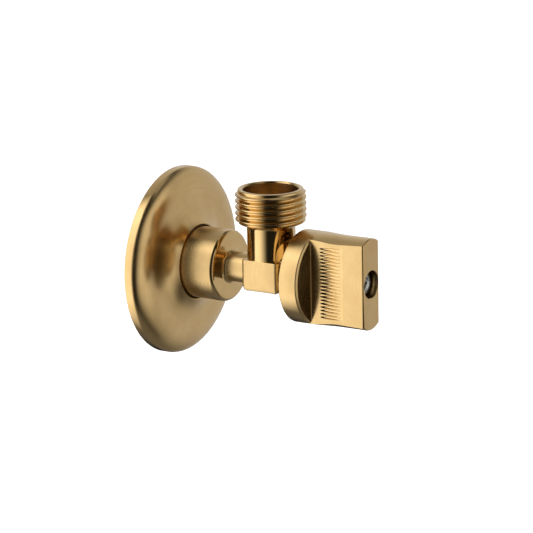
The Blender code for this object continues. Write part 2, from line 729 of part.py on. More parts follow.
def handle(material):
    """A hollow disc with a flat wing across its face, bored for the insert and the screw."""
    hollow = HANDLE_RADIUS - DISC_WALL
    profile = [
        (0.0, DISC_FRONT),
        (HANDLE_RADIUS - DISC_CHAMFER, DISC_FRONT),
        (HANDLE_RADIUS, DISC_FRONT - DISC_CHAMFER),
        (HANDLE_RADIUS, HANDLE_BACK),
        (hollow, HANDLE_BACK),
        (hollow, WEB_BACK),
        (0.0, WEB_BACK),
    ]
    knob = turned("handle", profile, wall_place(), material, ROUND_SIDES)
    wing_radius = HANDLE_RADIUS - WING_INSET
    wing_back = DISC_FRONT - DISC_WEB / 2
    wing_blank = [
        (0.0, HANDLE_END),
        (wing_radius - WING_EDGE, HANDLE_END),
        (wing_radius, HANDLE_END - WING_EDGE),
        (wing_radius, wing_back),
        (0.0, wing_back),
    ]
    wing = turned("wing_blank", wing_blank, wall_place())
    half = WING_THICKNESS / 2
    reach = HANDLE_RADIUS + OVERRUN
    slab = block("wing_slab", (-half, -HANDLE_END - OVERRUN, -reach), (half, -WEB_BACK, reach))
    for vert in slab.data.vertices:
        widened = WING_DRAFT * (HANDLE_END + vert.co.y) / WING_LENGTH
        vert.co.x += math.copysign(widened, vert.co.x)
    join(wing, slab, "INTERSECT")
    join(knob, wing)
    way = [
        (0.0, HANDLE_END + OVERRUN),
        (ACCESS_RADIUS, HANDLE_END + OVERRUN),
        (ACCESS_RADIUS, ACCESS_FLOOR),
        (SCREW_HOLE, ACCESS_FLOOR),
        (SCREW_HOLE, SOCKET_FLOOR),
        (INSERT_RADIUS + FACE_GAP, SOCKET_FLOOR),
        (INSERT_RADIUS + FACE_GAP, WEB_BACK - OVERRUN),
        (0.0, WEB_BACK - OVERRUN),
    ]
    return cut(knob, turned("handle_way", way, wall_place(), sides=FIT_SIDES))


def handle_insert(material):
    profile = sleeve_profile(SCREW_HOLE, INSERT_RADIUS, INSERT_BACK, INSERT_FRONT)
    insert = turned("handle_insert", profile, wall_place(), material, SMALL_SIDES, ring=True)
    socket = spline_ring(
        "insert_socket", SPLINE_RADIUS, INSERT_BACK - OVERRUN, STEM_END + FACE_GAP, FACE_GAP
    )
    return cut(insert, socket)


def screw_lock_washer(material):
    profile = sleeve_profile(SCREW_HOLE, LOCK_WASHER_RADIUS, WASHER_BACK, WASHER_FRONT)
    washer = turned("screw_lock_washer", profile, wall_place(), material, SMALL_SIDES, ring=True)
    half = LOCK_WASHER_SPLIT / 2
    split = block(
        "washer_split",
        (-half, -WASHER_FRONT - OVERRUN, 0.0),
        (half, -WASHER_BACK + OVERRUN, LOCK_WASHER_RADIUS + OVERRUN),
    )
    return cut(washer, split)


def handle_screw(material):
    profile = [
        (0.0, SCREW_HEAD_FRONT),
        (SCREW_HEAD_RADIUS - SCREW_HEAD_EDGE, SCREW_HEAD_FRONT),
        (SCREW_HEAD_RADIUS, SCREW_HEAD_FRONT - SCREW_HEAD_EDGE),
        (SCREW_HEAD_RADIUS, SCREW_HEAD_BACK),
        (SCREW_RADIUS, SCREW_HEAD_BACK),
        (SCREW_RADIUS, SCREW_TIP),
        (0.0, SCREW_TIP),
    ]
    screw = turned("handle_screw", profile, wall_place(), material, SMALL_SIDES)
    half = SCREW_RECESS_WIDTH / 2
    reach = SCREW_RECESS_REACH
    floor = SCREW_HEAD_FRONT - SCREW_RECESS_DEPTH
    for name, wide, tall in (("recess_level", reach, half), ("recess_upright", half, reach)):
        slot = block(name, (-wide, -SCREW_HEAD_FRONT - OVERRUN, -tall), (wide, -floor, tall))
        cut(screw, slot)
    return screw


def build():
    brass = metal("satin_gold_brass", (0.60, 0.42, 0.19), 0.30)
    raw_brass = metal("turned_brass", (0.66, 0.50, 0.24), 0.35)
    steel = metal("plated_steel", (0.62, 0.62, 0.60), 0.28)
    rubber = metal("black_rubber", (0.02, 0.02, 0.02), 0.65, 0.0)
    ptfe = metal("white_ptfe", (0.86, 0.86, 0.83), 0.50, 0.0)
    nylon = metal("grey_nylon", (0.30, 0.30, 0.30), 0.50, 0.0)
    valve_body(brass)
    wall_flange(brass)
    flange_grip_ring(rubber)
    seat_spring(steel)
    inlet_seat_ring(ptfe)
    plug_sleeve(ptfe)
    port_plug(raw_brass)
    stem(raw_brass)
    stem_o_rings(rubber)
    thrust_washer(ptfe)
    bonnet(raw_brass)
    bonnet_o_ring(rubber)
    slip_washer(ptfe)
    stop_washer(steel)
    stem_circlip(steel)
    handle(brass)
    handle_insert(nylon)
    screw_lock_washer(steel)
    handle_screw(steel)


clear_scene()
PARTS = new_collection("angle_stop_valve")
CUTTERS = new_collection("cutters")
build()
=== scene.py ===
"""Looks of the quarter-turn angle stop valve: body, wall flange, handle, small parts and a plain studio.

Lengths in the tables of sizes are in millimetres. The wall is the plane y = 0, the user stands on the -Y
side and +Z runs up through the outlet. A station is a distance out of the wall.
"""

import math

import bmesh
import bpy
from mathutils import Matrix, Vector


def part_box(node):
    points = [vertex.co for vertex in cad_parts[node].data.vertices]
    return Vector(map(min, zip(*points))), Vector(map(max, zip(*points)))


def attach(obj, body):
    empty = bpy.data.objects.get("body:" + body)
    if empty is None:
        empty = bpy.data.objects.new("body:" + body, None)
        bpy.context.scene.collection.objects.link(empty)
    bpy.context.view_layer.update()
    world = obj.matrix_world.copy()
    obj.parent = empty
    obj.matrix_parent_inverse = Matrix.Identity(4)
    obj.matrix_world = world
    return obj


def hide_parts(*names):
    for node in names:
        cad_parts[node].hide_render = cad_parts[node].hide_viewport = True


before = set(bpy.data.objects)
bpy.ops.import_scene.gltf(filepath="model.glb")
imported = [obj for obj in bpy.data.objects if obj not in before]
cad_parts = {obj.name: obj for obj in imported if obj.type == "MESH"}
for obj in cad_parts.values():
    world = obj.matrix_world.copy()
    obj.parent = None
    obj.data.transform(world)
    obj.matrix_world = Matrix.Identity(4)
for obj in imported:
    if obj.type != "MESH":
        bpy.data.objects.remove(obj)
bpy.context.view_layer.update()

MM = 0.001
FACING_WALL = Matrix.Rotation(math.pi / 2, 4, "X")      # turns local +Z to point out of the wall

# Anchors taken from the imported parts
BODY_LOW, BODY_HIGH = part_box("valve_body")
HANDLE_LOW, HANDLE_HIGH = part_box("handle")
FLANGE_LOW, FLANGE_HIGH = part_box("wall_flange")
GRIP_LOW, GRIP_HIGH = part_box("flange_grip_ring")
SCREW_LOW, SCREW_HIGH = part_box("handle_screw")
WASHER_LOW, WASHER_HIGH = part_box("screw_lock_washer")

# Facets
SIDES = 144
FLANGE_SIDES = 192
SMALL_SIDES = 64

# Pipe thread of both ends, G 1/2
PITCH = 1.814
CREST = 10.4775
THREAD_DEPTH = 1.162
THREAD_ROUND = 0.249

# Body, stations out of the wall
INLET_END = -BODY_HIGH.y / MM
HEAD_END = -BODY_LOW.y / MM
OUTLET_TOP = BODY_HIGH.z / MM
OUTLET_OUT = 33.4
COLLAR_RADIUS = 10.67
COLLAR_BACK = 3.2
COLLAR_FRONT = 19.3
COLLAR_ROUND = 1.2
NECK_RADIUS = 4.5
NECK_FILLET = 1.1
BLOCK_HALF_LENGTH = 6.1
BLOCK_HALF_WIDTH = 7.3
BLOCK_TOP = 4.4
BLOCK_BOTTOM = -5.1
BLOCK_CORNER = 1.0
BLOCK_FOOT = 1.5
BLOCK_RIM = 0.3
WAIST_RADIUS = 6.4
WAIST_FRONT = 40.2
HEAD_RADIUS = 10.0
HEAD_START = 41.8
OUTLET_NECK = 7.15
OUTLET_BORE = 8.2
OUTLET_BORE_FLOOR = 16.8
OUTLET_THROAT = 5.2
OUTLET_THROAT_FLOOR = 5.6
OUTLET_THREAD_END = 14.93
PORT_RADIUS = 1.9
CAVITY_RADIUS = 4.0
CAVITY_BACK = 28.0
SOCKET_RADIUS = 5.0
SOCKET_START = 40.4
SOCKET_END = 43.0
HEAD_BORE = 8.4
NECK_BORE = 2.6
INLET_BORE = 7.0
INLET_BORE_END = 14.5
INLET_CONE_END = 17.4

# Handle
HANDLE_END = -HANDLE_LOW.y / MM
HANDLE_BACK = -HANDLE_HIGH.y / MM
HANDLE_RADIUS = HANDLE_HIGH.x / MM
HANDLE_HOLLOW = 11.58
WEB_BACK = 48.85
DISC_FRONT = 49.95
DISC_CHAMFER = 0.7
DISC_CHAMFER_DEPTH = 0.42
CORNER_BEAD = 0.13
WING_ROOT = 1.05
WING_DRAFT = 1.05
WING_BLEND = 9.0
WING_HALF = 4.4
WING_CROWN = 8.0
WING_TOP = HANDLE_RADIUS - 0.1
WING_EDGE = 0.45
WING_STRIPS = 24            # strips each way, so that the crown can curve
GROOVES = 21
GROOVE_PITCH = 1.02
GROOVE_RADIUS = 0.45
GROOVE_DEPTH = 0.22
GROOVE_END_LAND = 0.55
ACCESS_RADIUS = 4.05
ACCESS_FLOOR = 62.15
SCREW_HOLE = 1.7
SCREW_HEAD = 1.9
SCREW_DISH = 0.35
SCREW_DISH_FLOOR = 1.55
SCREW_DISH_RIM = 1.95
SCREW_SHANK = 1.5
RECESS_LONG = 2.9
RECESS_WIDE = 0.8
RECESS_TOOL = 1.6
RECESS_BEHIND = 0.4
WASHER_BORE = 1.7
WASHER_OUTSIDE = 2.9
WASHER_GAP = 0.45
WASHER_GAP_TOOL = 2.0
WASHER_GAP_AT = 2.6
WASHER_GAP_TURN = math.radians(25)
GRIP_OVERSIZE = 1.01        # the section against the depth of the ring's CAD box
SOCKET_FLOOR = 59.25
INSERT_POCKET = 3.85

# Flange
FLANGE_RADIUS = FLANGE_HIGH.x / MM
FLANGE_HUB = -FLANGE_LOW.y / MM
FLANGE_HOLE = 11.15
FLANGE_LIP = 0.3
FLANGE_TRUMPET = 5
FLANGE_SHEET = 1.0
FLANGE_RIM = 2.2
FLANGE_SHOULDER = 8.5
FLANGE_DOME = 3.6


# ---------------------------------------------------------------- shaping

def wire(bm, points, closed=False):
    """Wire of a profile, each point a radius, a station and, if its corner is rounded, by how much."""
    corners = [bm.verts.new((point[0] * MM, 0.0, point[1] * MM)) for point in points]
    for start, end in zip(corners, corners[1:]):
        bm.edges.new((start, end))
    if closed:
        bm.edges.new((corners[-1], corners[0]))
    for corner, point in zip(corners, points):
        if len(point) > 2:
            bmesh.ops.bevel(
                bm,
                geom=[corner],
                offset=point[2] * MM,
                offset_type="OFFSET",
                affect="VERTICES",
                segments=5,
                profile=0.5,
                material=-1,
            )


def turned(points, sides=SIDES, closed=False):
    """Solid turned about local Z from a profile that runs from axis to axis, or from a closed one."""
    bm = bmesh.new()
    wire(bm, points, closed)
    spin_round(bm, 2 * math.pi, sides, merge=True)
    tidy(bm)
    return bm


def spin_round(bm, angle, steps, merge=False, rise=0.0):
    bmesh.ops.spin(
        bm,
        geom=bm.verts[:] + bm.edges[:],
        cent=(0.0, 0.0, 0.0),
        axis=(0.0, 0.0, 1.0),
        dvec=(0.0, 0.0, rise),
        angle=angle,
        steps=steps,
        use_merge=merge,
        use_duplicate=False,
    )


def tidy(bm):
    bmesh.ops.remove_doubles(bm, verts=bm.verts, dist=0.0005 * MM)
    bmesh.ops.dissolve_degenerate(bm, edges=bm.edges, dist=0.0001 * MM)
    bmesh.ops.recalc_face_normals(bm, faces=bm.faces)


def threaded_rod(low, high):
    """Right-hand G 1/2 rod between two stations, with rounded crests and roots."""
    root = CREST - THREAD_DEPTH
    quarter = PITCH / 4
    form = [
        (root, -2 * quarter),
        (root, -1.6 * quarter, THREAD_ROUND * 0.5),
        (CREST, -0.4 * quarter, THREAD_ROUND * 0.5),
        (CREST, 0.4 * quarter, THREAD_ROUND * 0.5),
        (root, 1.6 * quarter, THREAD_ROUND * 0.5),
        (root, 2 * quarter),
    ]
    bm = bmesh.new()
    wire(bm, [(radius, station + low - PITCH * 1.5, *rounding) for radius, station, *rounding in form])
    spin_round(bm, 2 * math.pi, SIDES, rise=PITCH / SIDES * MM)
    one_turn = bm.verts[:] + bm.edges[:] + bm.faces[:]
    for turn in range(1, math.ceil((high - low) / PITCH) + 3):
        copied = bmesh.ops.duplicate(bm, geom=one_turn)
        verts = [part for part in copied["geom"] if isinstance(part, bmesh.types.BMVert)]
        bmesh.ops.translate(bm, vec=(0.0, 0.0, turn * PITCH * MM), verts=verts)
    bmesh.ops.remove_doubles(bm, verts=bm.verts, dist=0.0005 * MM)
    for station, side in ((low, -1), (high, 1)):
        everything = bm.verts[:] + bm.edges[:] + bm.faces[:]
        bmesh.ops.bisect_plane(
            bm,
            geom=everything,
            plane_co=(0.0, 0.0, station * MM),
            plane_no=(0.0, 0.0, side),
            clear_outer=True,
        )
        rim = [edge for edge in bm.edges if edge.is_boundary and on_level(edge, station)]
        bmesh.ops.contextual_create(bm, geom=rim)
    tidy(bm)
    return bm


def on_level(edge, station):
    return all(abs(vert.co.z - station * MM) < 0.001 * MM for vert in edge.verts)


def placed(bm, matrix):
    bmesh.ops.transform(bm, matrix=matrix, verts=bm.verts)
    return bm


def on_wall(bm):
    return placed(bm, FACING_WALL)


def on_outlet(bm):
    return placed(bm, Matrix.Translation((0.0, -OUTLET_OUT * MM, 0.0)))


def solid(name, bm):
    mesh = bpy.data.meshes.new(name)
    bm.to_mesh(mesh)
    bm.free()
    obj = bpy.data.objects.new(name, mesh)
    bpy.context.scene.collection.objects.link(obj)
    return obj


def combine(target, bm, operation):
    """Adds, cuts away or trims to another shape, and keeps one closed mesh."""
    tool = solid("tool", bm)
    modifier = target.modifiers.new("Shape", "BOOLEAN")
    modifier.operation = operation
    modifier.solver = "MANIFOLD"
    modifier.object = tool
    graph = bpy.context.evaluated_depsgraph_get()
    made = bpy.data.meshes.new_from_object(target.evaluated_get(graph))
    target.modifiers.clear()
    old, target.data = target.data, made
    bpy.data.meshes.remove(old)
    bpy.data.objects.remove(tool)
    made.name = target.name
    return target


def finished(obj, body, node, materials, zone=None, sharp=32):
    """Smooths a piece except at its sharp edges, gives each zone its finish and hangs it on its body."""
    mesh = obj.data
    mesh.materials.clear()
    for material in materials:
        mesh.materials.append(material)
    mesh.shade_smooth()
    mesh.set_sharp_from_angle(angle=math.radians(sharp))
    if zone:
        for face in mesh.polygons:
            face.material_index = zone(face.center / MM, face.normal)
    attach(obj, body)
    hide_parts(node)
    return obj


# ---------------------------------------------------------------- finishes

def nodes_of(name):
    material = bpy.data.materials.new(name)
    material.use_nodes = True
    tree = material.node_tree
    return material, tree, tree.nodes["Principled BSDF"]


def add(tree, kind, **settings):
    node = tree.nodes.new(kind)
    for key, value in settings.items():
        setattr(node, key, value)
    return node


def math_node(tree, operation, first, second=None, third=None):
    node = add(tree, "ShaderNodeMath", operation=operation)
    for socket, value in zip(node.inputs, (first, second, third)):
        if value is None:
            continue
        if isinstance(value, (int, float)):
            socket.default_value = value
        else:
            tree.links.new(value, socket)
    return node.outputs[0]


def noise(tree, vector, scale, detail=2.0, roughness=0.5, dimensions="3D", w=None):
    node = add(tree, "ShaderNodeTexNoise", noise_dimensions=dimensions)
    node.inputs["Scale"].default_value = scale
    node.inputs["Detail"].default_value = detail
    node.inputs["Roughness"].default_value = roughness
    tree.links.new(vector, node.inputs["Vector"])
    if w is not None:
        tree.links.new(w, node.inputs["W"])
    return node.outputs["Fac"]


def ramp(tree, value, stops):
    node = add(tree, "ShaderNodeValToRGB")
    elements = node.color_ramp.elements
    while len(elements) < len(stops):
        elements.new(0.5)
    for element, (place, colour) in zip(elements, stops):
        element.position = place
        element.color = (*colour, 1.0)
    tree.links.new(value, node.inputs["Fac"])
    return node.outputs["Color"]


def spread(tree, value, low, high):
    """Maps 0 to 1 onto low to high."""
    node = add(tree, "ShaderNodeMapRange")
    node.inputs["To Min"].default_value = low
    node.inputs["To Max"].default_value = high
    tree.links.new(value, node.inputs["Value"])
    return node.outputs["Result"]


def round_axis(tree, axis, centre=(0.0, 0.0, 0.0)):
    """Object position about an axis: the place, the distance from the axis plus the station, and the lay."""
    place = add(tree, "ShaderNodeTexCoord").outputs["Object"]
    shift = add(tree, "ShaderNodeVectorMath", operation="SUBTRACT")
    shift.inputs[1].default_value = centre
    tree.links.new(place, shift.inputs[0])
    parts = add(tree, "ShaderNodeSeparateXYZ")
    tree.links.new(shift.outputs[0], parts.inputs[0])
    x, y, z = parts.outputs
    across, along = ((x, z), y) if axis == "Y" else ((x, y), z)
    squares = [math_node(tree, "MULTIPLY", side, side) for side in across]
    radius = math_node(tree, "SQRT", math_node(tree, "ADD", *squares))
    line = math_node(tree, "ADD", radius, along)
    turn = add(tree, "ShaderNodeVectorMath", operation="CROSS_PRODUCT")
    turn.inputs[1].default_value = (0.0, 1.0, 0.0) if axis == "Y" else (0.0, 0.0, 1.0)
    tree.links.new(shift.outputs[0], turn.inputs[0])
    lay = add(
        tree, "ShaderNodeVectorTransform",
        vector_type="VECTOR", convert_from="OBJECT", convert_to="WORLD",
    )
    tree.links.new(turn.outputs[0], lay.inputs[0])
    return place, line, lay.outputs[0]


def gold(name, axis="Y", rough=(0.22, 0.34), grain=5200.0, relief=0.10, lay=0.55, colour=None, centre=None):
    """Brushed gold-brass whose fine lines run round an axis, with soft clouding."""
    dark, light = colour or ((0.60, 0.40, 0.165), (0.71, 0.50, 0.225))
    material, tree, shader = nodes_of(name)
    place, line, turn = round_axis(tree, axis, centre or (0.0, 0.0, 0.0))
    streaks = noise(tree, place, 60.0, 3.0, 0.6, "4D", math_node(tree, "MULTIPLY", line, grain / 60.0))
    clouds = noise(tree, place, 160.0, 3.0, 0.55)
    mixed = math_node(tree, "MULTIPLY_ADD", streaks, 0.45, math_node(tree, "MULTIPLY", clouds, 0.55))
    tree.links.new(ramp(tree, mixed, [(0.30, dark), (0.70, light)]), shader.inputs["Base Color"])
    tree.links.new(spread(tree, mixed, rough[1], rough[0]), shader.inputs["Roughness"])
    tree.links.new(turn, shader.inputs["Tangent"])
    shader.inputs["Metallic"].default_value = 1.0
    shader.inputs["Anisotropic"].default_value = lay
    shader.inputs["Anisotropic Rotation"].default_value = 0.25
    shader.inputs["Coat Weight"].default_value = 0.25
    shader.inputs["Coat Roughness"].default_value = 0.12
    bump = add(tree, "ShaderNodeBump")
    bump.inputs["Strength"].default_value = relief
    bump.inputs["Distance"].default_value = 0.02 * MM
    tree.links.new(streaks, bump.inputs["Height"])
    tree.links.new(bump.outputs["Normal"], shader.inputs["Normal"])
    return material


def plain(name, colours, rough, metallic=0.0, scale=900.0, relief=0.12, grain=0.05):
    """An even finish with a fine mottle, for the small parts."""
    material, tree, shader = nodes_of(name)
    place = add(tree, "ShaderNodeTexCoord").outputs["Object"]
    fine = noise(tree, place, scale, 4.0, 0.6)
    broad = noise(tree, place, scale * 0.15, 2.0)
    mixed = math_node(tree, "MULTIPLY_ADD", fine, 0.5, math_node(tree, "MULTIPLY", broad, 0.5))
    tree.links.new(ramp(tree, mixed, [(0.3, colours[0]), (0.7, colours[1])]), shader.inputs["Base Color"])
    tree.links.new(spread(tree, mixed, rough[0], rough[1]), shader.inputs["Roughness"])
    shader.inputs["Metallic"].default_value = metallic
    bump = add(tree, "ShaderNodeBump")
    bump.inputs["Strength"].default_value = relief
    bump.inputs["Distance"].default_value = grain * MM
    tree.links.new(fine, bump.inputs["Height"])
    tree.links.new(bump.outputs["Normal"], shader.inputs["Normal"])
    return material


# ---------------------------------------------------------------- valve body

def body_blank():
    """Inlet thread, collar, neck, waist and head, turned about the inlet axis."""
    root = CREST - THREAD_DEPTH
    obj = solid("cast_valve_body", on_wall(turned([
        (0.0, HEAD_END),
        (HEAD_RADIUS, HEAD_END, 0.35),
        (HEAD_RADIUS, HEAD_START, 0.4),
        (WAIST_RADIUS, WAIST_FRONT, 0.5),
        (WAIST_RADIUS, OUTLET_OUT + 4.0),
        (NECK_RADIUS, OUTLET_OUT + 4.0),
        (NECK_RADIUS, COLLAR_FRONT, NECK_FILLET),
        (COLLAR_RADIUS, COLLAR_FRONT, COLLAR_ROUND),
        (COLLAR_RADIUS, COLLAR_BACK, 0.3),
        (root, COLLAR_BACK, 0.2),
        (root, INLET_END),
        (0.0, INLET_END),
    ])))
    return obj


def inlet_thread():
    rod = solid("inlet_rod", threaded_rod(INLET_END - 0.5, COLLAR_BACK - 0.8))
    envelope = turned([
        (0.0, COLLAR_BACK - 1.1),
        (9.6, COLLAR_BACK - 1.1),
        (CREST + 0.4, COLLAR_BACK - 2.3),
        (CREST + 0.4, INLET_END + 1.6),
        (9.2, INLET_END),
        (0.0, INLET_END),
    ])
    return combine(rod, envelope, "INTERSECT")


def outlet_thread():
    rod = solid("outlet_rod", threaded_rod(OUTLET_THREAD_END - 0.4, OUTLET_TOP - 0.5))
    envelope = turned([
        (0.0, OUTLET_TOP - 0.7),
        (9.7, OUTLET_TOP - 0.7),
        (CREST + 0.4, OUTLET_TOP - 1.5),
        (CREST + 0.4, OUTLET_THREAD_END + 1.0),
        (9.5, OUTLET_THREAD_END),
        (0.0, OUTLET_THREAD_END),
    ])
    return combine(rod, envelope, "INTERSECT")


def as_bmesh(obj):
    """Takes an object's mesh over and removes the object."""
    bm = bmesh.new()
    bm.from_mesh(obj.data)
    mesh = obj.data
    bpy.data.objects.remove(obj)
    bpy.data.meshes.remove(mesh)
    return bm


def block():
    """The block under the outlet, with rounded upright corners and a broad chamfer along its foot."""
    bm = bmesh.new()
    bmesh.ops.create_cube(bm, size=1.0)
    size = Vector((2 * BLOCK_HALF_WIDTH, 2 * BLOCK_HALF_LENGTH, BLOCK_TOP - BLOCK_BOTTOM))
    middle = Vector((0.0, -OUTLET_OUT, (BLOCK_TOP + BLOCK_BOTTOM) / 2))
    bmesh.ops.scale(bm, vec=size * MM, verts=bm.verts)
    bmesh.ops.translate(bm, vec=middle * MM, verts=bm.verts)
    soften(bm, lambda a, b: abs(a.z - b.z) > 1.0 * MM, BLOCK_CORNER, 5)
    soften(bm, lambda a, b: max(a.z, b.z) < (BLOCK_BOTTOM + 0.1) * MM, BLOCK_FOOT, 2)
    soften(bm, lambda a, b: min(a.z, b.z) > (BLOCK_TOP - 0.1) * MM, BLOCK_RIM, 3)
    bmesh.ops.recalc_face_normals(bm, faces=bm.faces)
    return bm


def soften(bm, pick, amount, segments):
    """Bevels the edges whose two ends the test picks."""
    bmesh.ops.bevel(
        bm,
        geom=[edge for edge in bm.edges if pick(edge.verts[0].co, edge.verts[1].co)],
        offset=amount * MM,
        offset_type="OFFSET",
        affect="EDGES",
        segments=segments,
        profile=0.5,
        material=-1,
    )


def outlet_shell():
    root = CREST - THREAD_DEPTH
    return turned([
        (0.0, OUTLET_TOP),
        (root + 0.35, OUTLET_TOP, 0.4),
        (root + 0.35, OUTLET_TOP - 1.0, 0.2),
        (root, OUTLET_TOP - 1.3),
        (root, OUTLET_THREAD_END + 0.3, 0.2),
        (OUTLET_NECK, OUTLET_THREAD_END - 0.9, 0.3),
        (OUTLET_NECK, 1.0),
        (0.0, 1.0),
    ])


def through_way():
    return turned([
        (0.0, HEAD_END + 1.0),
        (HEAD_BORE, HEAD_END + 1.0),
        (HEAD_BORE, SOCKET_END),
        (SOCKET_RADIUS, SOCKET_END),
        (SOCKET_RADIUS, SOCKET_START),
        (CAVITY_RADIUS, SOCKET_START),
        (CAVITY_RADIUS, CAVITY_BACK),
        (NECK_BORE, CAVITY_BACK),
        (NECK_BORE, INLET_CONE_END),
        (INLET_BORE, INLET_BORE_END),
        (INLET_BORE, INLET_END + 0.4),
        (INLET_BORE + 1.4, INLET_END - 1.0),
        (0.0, INLET_END - 1.0),
    ])


def outlet_way():
    return turned([
        (0.0, OUTLET_TOP + 1.0),
        (OUTLET_BORE + 1.4, OUTLET_TOP + 1.0),
        (OUTLET_BORE, OUTLET_TOP - 0.4),
        (OUTLET_BORE, OUTLET_BORE_FLOOR, 0.3),
        (OUTLET_THROAT, OUTLET_BORE_FLOOR - OUTLET_THROAT / 2, 0.3),
        (OUTLET_THROAT, OUTLET_THROAT_FLOOR, 0.4),
        (PORT_RADIUS, OUTLET_THROAT_FLOOR),
        (PORT_RADIUS, 0.0),
        (0.0, 0.0),
    ])


def body_zone(at, normal):
    """0 satin outside, 1 polished, 2 threads, 3 inside bores."""
    from_inlet = math.hypot(at.x, at.z)
    from_outlet = math.hypot(at.x, at.y + OUTLET_OUT)
    out = -at.y
    if out < COLLAR_BACK - 0.5:
        return 3 if from_inlet < INLET_BORE + 0.3 else 2
    if at.z > BLOCK_TOP + 0.05 and from_outlet < CREST + 0.3:
        outward = normal.x * at.x + normal.y * (at.y + OUTLET_OUT)
        if from_outlet < OUTLET_BORE + 0.05 and (outward < 0 or at.z < OUTLET_BORE_FLOOR + 0.1):
            return 3 if from_outlet < OUTLET_NECK - 0.1 or at.z > OUTLET_BORE_FLOOR - 0.1 else 1
        return 2 if at.z > OUTLET_THREAD_END - 0.2 else 1
    front_face = COLLAR_FRONT - COLLAR_ROUND < out < COLLAR_FRONT + 0.3
    return 1 if front_face and from_inlet > NECK_RADIUS + 0.3 else 0


def valve_body(materials):
    body = body_blank()
    combine(body, on_wall(as_bmesh(inlet_thread())), "UNION")
    combine(body, block(), "UNION")
    combine(body, on_outlet(outlet_shell()), "UNION")
    combine(body, on_outlet(as_bmesh(outlet_thread())), "UNION")
    combine(body, on_wall(through_way()), "DIFFERENCE")
    combine(body, on_outlet(outlet_way()), "DIFFERENCE")
    return finished(body, "body", "valve_body", materials, body_zone)


# ---------------------------------------------------------------- flange

def flange_station(radius):
    """How far out of the wall the pressed face lies: a domed shoulder that flows into a trumpet."""
    inward = FLANGE_RADIUS - radius
    domed = min(inward / FLANGE_SHOULDER, 1.0)
    flared = inward / (FLANGE_RADIUS - FLANGE_HOLE - FLANGE_LIP)
    dome = FLANGE_DOME * math.sqrt(1 - (1 - domed) ** 2)
    return FLANGE_RIM + dome + (FLANGE_HUB - FLANGE_RIM - FLANGE_DOME) * flared ** FLANGE_TRUMPET


def flange_face():
    lip_edge = FLANGE_HOLE + FLANGE_LIP
    dome_edge = FLANGE_RADIUS - FLANGE_SHOULDER
    radii = [lip_edge + (dome_edge - lip_edge) * step / 32 for step in range(32)]
    radii += [dome_edge + FLANGE_SHOULDER * math.sin(math.pi / 2 * step / 32) for step in range(33)]
    return [(radius, flange_station(radius)) for radius in radii]


def wall_flange(material):
    """The sheet's back is its face set back by the sheet's thickness, where that clears the hole."""
    outer = [Vector(point) for point in flange_face()]
    inner = []
    for before, point, after in zip(outer, outer[1:], outer[2:]):
        along = (after - before).normalized()
        set_back = point + Vector((along.y, -along.x)) * FLANGE_SHEET
        if set_back.x > FLANGE_HOLE + 0.1:
            inner.append(set_back)
    profile = [
        (FLANGE_HOLE, FLANGE_HUB - 0.1, 0.08),
        *[tuple(point) for point in outer],
        (FLANGE_RADIUS, 0.0, 0.15),
        (FLANGE_RADIUS - FLANGE_SHEET, 0.0, 0.15),
        *[tuple(point) for point in inner[::-1]],
        (FLANGE_HOLE, FLANGE_HUB - FLANGE_SHEET, 0.15),
    ]
    plate = solid("pressed_wall_flange", on_wall(turned(profile, FLANGE_SIDES, closed=True)))
    return finished(plate, "flange", "wall_flange", [material])


def ring(name, radius, section, station, body, node, material, sides=SIDES):
    """A round-section ring about the inlet axis."""
    bm = bmesh.new()
    bmesh.ops.create_circle(bm, cap_ends=False, segments=24, radius=section / 2 * MM)
    turn = Matrix.Rotation(math.pi / 2, 4, "X")
    placed(bm, Matrix.Translation((radius * MM, 0.0, station * MM)) @ turn)
    spin_round(bm, 2 * math.pi, sides, merge=True)
    tidy(bm)
    return finished(solid(name, on_wall(bm)), body, node, [material])


def grip_ring(material):
    section = (GRIP_HIGH.y - GRIP_LOW.y) / MM * GRIP_OVERSIZE
    outer = GRIP_HIGH.x / MM
    station = -(GRIP_HIGH.y + GRIP_LOW.y) / 2 / MM
    radius = outer - section / 2
    return ring(
        "rubber_grip_ring", radius, section, station,
        "grip_ring", "flange_grip_ring", material,
    )


# ---------------------------------------------------------------- handle

def disc():
    return turned([
        (0.0, DISC_FRONT),
        (HANDLE_RADIUS - DISC_CHAMFER, DISC_FRONT, 0.12),
        (HANDLE_RADIUS, DISC_FRONT - DISC_CHAMFER_DEPTH, 0.22),
        (HANDLE_RADIUS, HANDLE_BACK, 0.35),
        (HANDLE_HOLLOW, HANDLE_BACK, 0.25),
        (HANDLE_HOLLOW, WEB_BACK, 0.6),
        (0.0, WEB_BACK),
    ])


def crown(across, radius, top):
    """Height of a crowned edge at a distance from the wing's middle."""
    return top - radius + math.sqrt(radius ** 2 - across ** 2)


